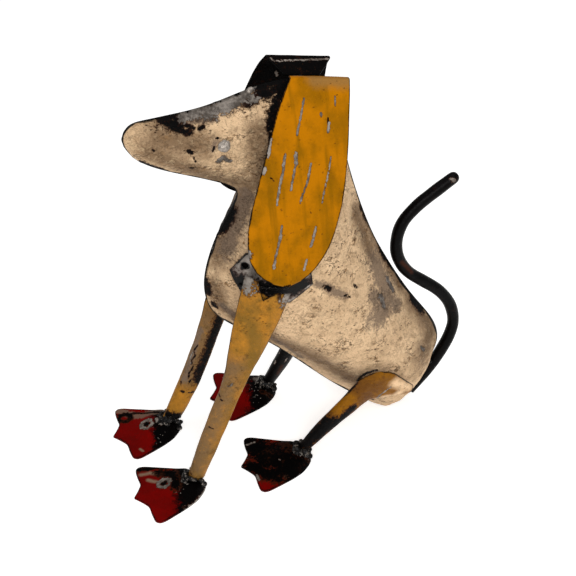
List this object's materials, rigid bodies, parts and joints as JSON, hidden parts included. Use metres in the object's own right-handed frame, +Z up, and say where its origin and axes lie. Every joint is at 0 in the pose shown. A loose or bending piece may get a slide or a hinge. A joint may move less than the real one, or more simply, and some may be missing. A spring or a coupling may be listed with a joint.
{
  "type": "scrap metal dog sculpture",
  "caption": "Sitting dog sculpture welded from hammered, cut and rolled scrap sheet metal, with long folded ears, cut paws and a curled rod tail, in worn paint.",
  "frame": {"origin": "on the ground, under the middle of the dog's box", "axes": "+Z up, -X towards the nose, -Y to the dog's left side"},
  "size_m": [0.3102, 0.1772, 0.3442],
  "materials": {
    "cream": "worn hammered paint",
    "yellow": "worn satin paint",
    "black": "satin paint, burnt and worn",
    "ochre": "worn satin paint",
    "mustard": "worn and burnt paint",
    "red": "worn satin paint",
    "bare_steel": "heat-stained scrap"
  },
  "bodies": {
    "root": {"left_half_shell": "cream", "right_half_shell": "cream", "left_ear": "yellow", "right_ear": "yellow", "left_shoulder_plate": "bare_steel", "right_shoulder_plate": "bare_steel", "left_eye": "bare_steel", "right_eye": "bare_steel", "left_front_leg": "ochre", "right_front_leg": "ochre", "left_hind_leg": "mustard", "right_hind_leg": "black", "left_front_paw": "red", "right_front_paw": "red", "left_hind_paw": "red", "right_hind_paw": "red", "tail": "black"}
  },
  "joints": []
}
